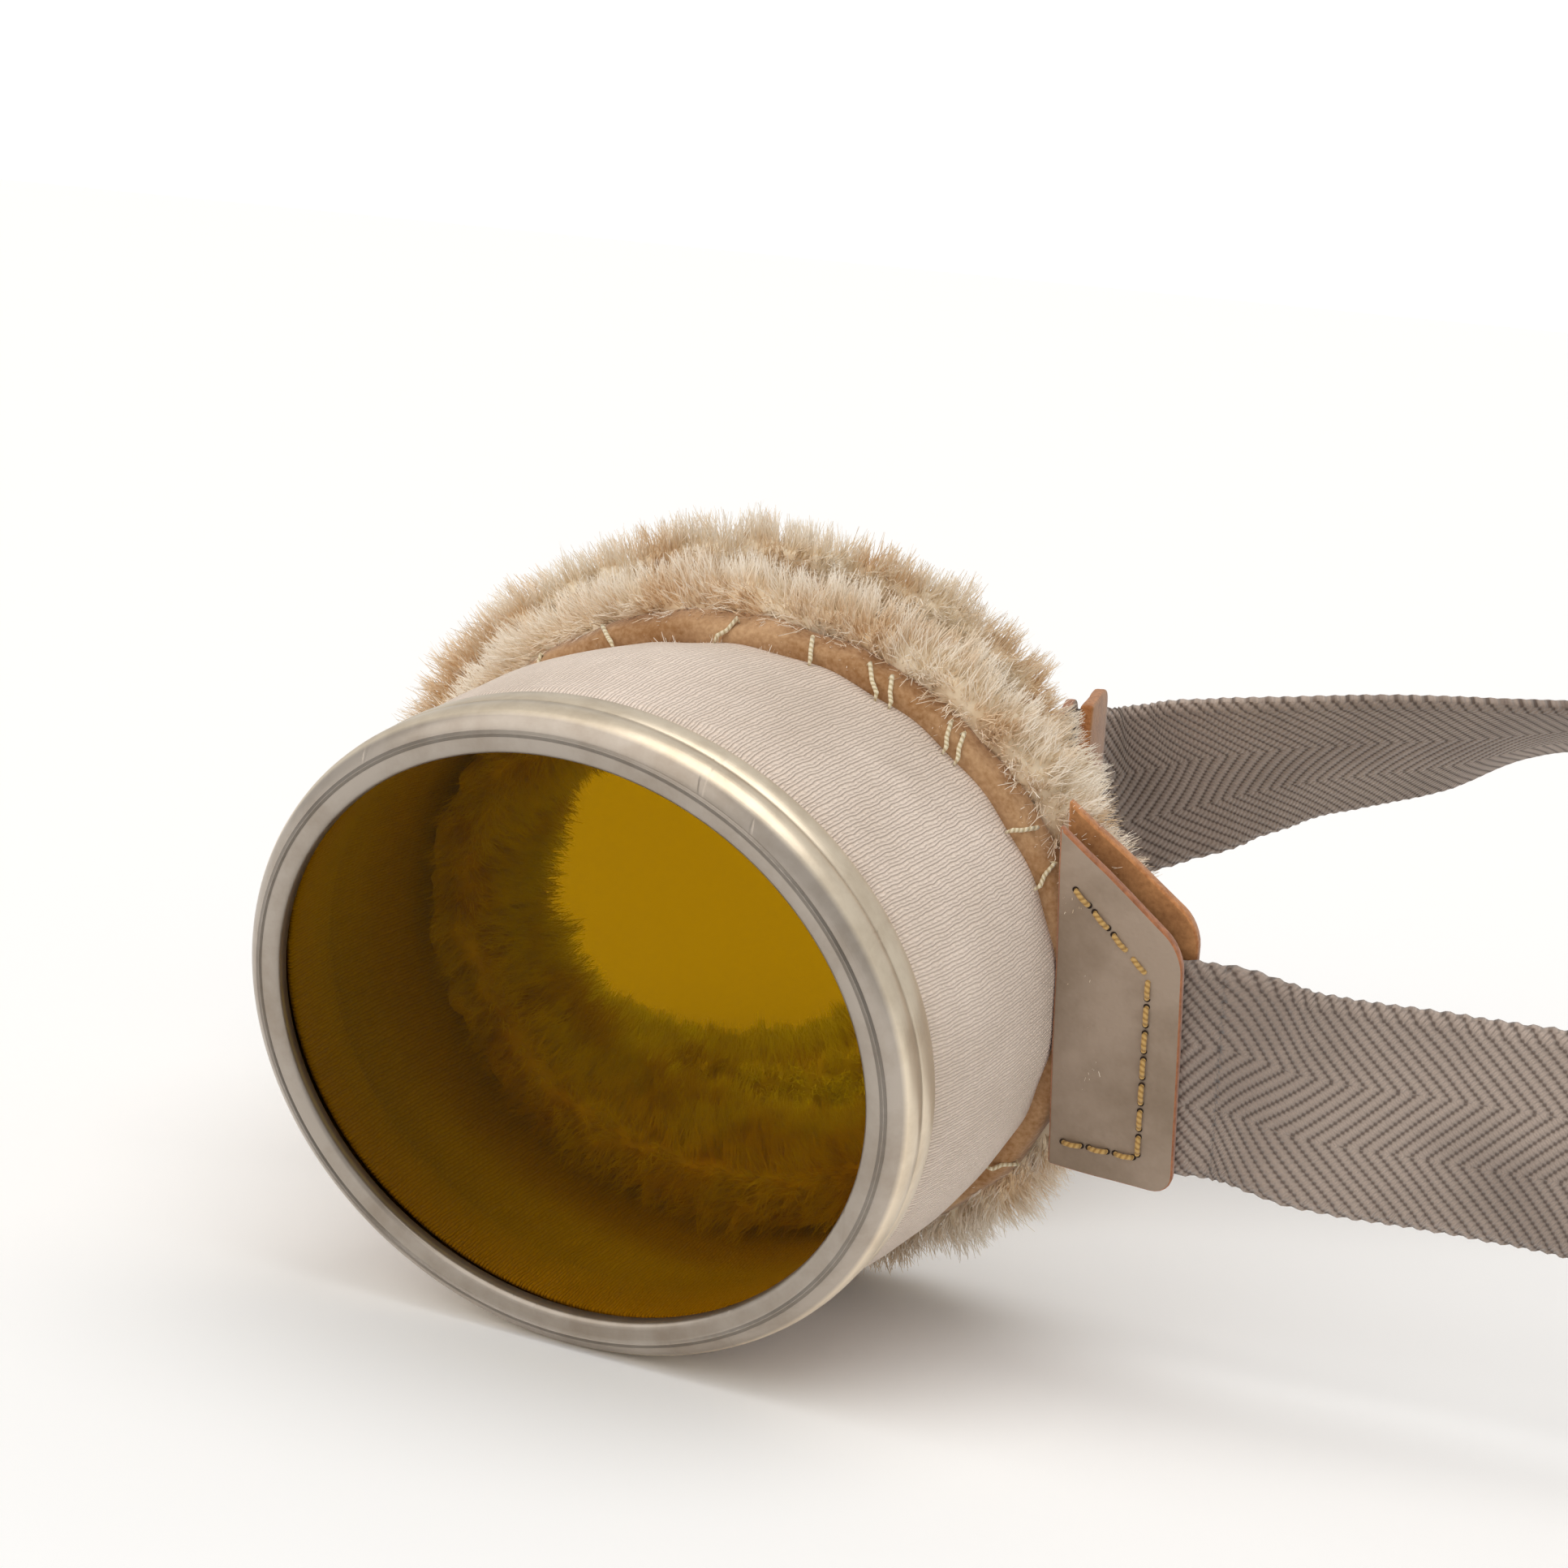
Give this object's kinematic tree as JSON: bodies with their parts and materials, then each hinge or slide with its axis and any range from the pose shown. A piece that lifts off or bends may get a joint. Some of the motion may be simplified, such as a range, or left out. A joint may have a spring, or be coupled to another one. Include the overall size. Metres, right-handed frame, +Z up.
{
  "type": "motorcycle goggles",
  "caption": "Folding motorcycle goggles: oval metal-rimmed amber lenses on knitted cups with sheepskin face pads, stitched leather temple tabs, nose bridge and herringbone head strap.",
  "frame": {"origin": "under the middle of the whole object's box, on the surface it stands on", "axes": "+X from the left cup along the strap to its far bend, +Y from the left lens towards the folded right cup, +Z up"},
  "size_m": [0.2288, 0.1566, 0.0656],
  "materials": {
    "rim_metal": "satin, spun, warm pale gold from old lacquer",
    "lens_glass": "clear amber tint, gloss",
    "ring_steel": "bright drawn wire",
    "knit_wool": "fine rib knit, matte",
    "sheepskin_suede": "brown suede, napped",
    "sheep_fleece": "cream wool, matte",
    "whip_thread": "cream twisted thread",
    "tab_leather": "fine-grained grey-taupe leather, satin",
    "tab_suede": "tan suede, napped",
    "tab_thread": "ochre waxed thread",
    "strap_webbing": "herringbone webbing, matte",
    "bridge_leather": "brown leather, satin",
    "stud_metal": "nickelled brass, worn satin"
  },
  "bodies": {
    "left_cup": {"left_rim": "rim_metal", "left_lens": "lens_glass", "left_spring_ring": "ring_steel", "left_clamp_ring": "ring_steel", "left_knit_sleeve": "knit_wool", "left_sheepskin_hide": "sheepskin_suede", "left_fleece_pad": "sheep_fleece", "left_whip_stitches": "whip_thread", "left_tab_outer_leather": "tab_leather", "left_tab_inner_leather": "tab_suede", "left_tab_stitches": "tab_thread", "left_webbing_end": "strap_webbing", "left_nose_keeper": "bridge_leather", "left_nose_loop": "ring_steel"},
    "bridge": {"nose_bridge": "bridge_leather", "bridge_rivets": "stud_metal"},
    "right_cup": {"right_rim": "rim_metal", "right_lens": "lens_glass", "right_spring_ring": "ring_steel", "right_clamp_ring": "ring_steel", "right_knit_sleeve": "knit_wool", "right_sheepskin_hide": "sheepskin_suede", "right_fleece_pad": "sheep_fleece", "right_whip_stitches": "whip_thread", "right_tab_outer_leather": "tab_leather", "right_tab_inner_leather": "tab_suede", "right_tab_stitches": "tab_thread", "right_webbing_end": "strap_webbing", "right_nose_keeper": "bridge_leather", "right_nose_loop": "ring_steel"},
    "left_strap": {"left_strap": "strap_webbing", "stud": "stud_metal"},
    "right_strap": {"right_strap": "strap_webbing", "stud_socket": "stud_metal", "socket_cap": "stud_metal"},
    "adjuster": {"adjuster_slide": "stud_metal"}
  },
  "joints": [
    {"name": "bridge_fold", "type": "hinge", "parent": "left_cup", "child": "bridge", "pos_m": [-0.09298, -0.04256, 0.03387], "axis": [0, 0, 1], "range_deg": [0, 33]},
    {"name": "cup_fold", "type": "hinge", "parent": "bridge", "child": "right_cup", "pos_m": [-0.10436, -0.02993, 0.03387], "axis": [0, 0, 1], "range_deg": [0, 86]},
    {"name": "left_strap_swing", "type": "hinge", "parent": "left_cup", "child": "left_strap", "pos_m": [-0.01103, -0.0406, 0.02845], "axis": [0, -0.1908, 0.9816], "range_deg": [0, 60]},
    {"name": "right_strap_swing", "type": "hinge", "parent": "right_cup", "child": "right_strap", "pos_m": [-0.04605, 0.02014, 0.0385], "axis": [-0.0983, 0.1636, 0.9816], "range_deg": [-60, 0]},
    {"name": "adjuster_slide_run", "type": "slide", "parent": "left_strap", "child": "adjuster", "axis": [0.9787, 0.1434, -0.1468], "range_m": [-0.005, 0.013]}
  ],
  "couplings": [
    {"joint": "bridge_fold", "follows": "cup_fold", "ratio": 0.3837},
    {"joint": "left_strap_swing", "follows": "cup_fold", "ratio": 0.6976},
    {"joint": "right_strap_swing", "follows": "cup_fold", "ratio": -0.6976}
  ]
}
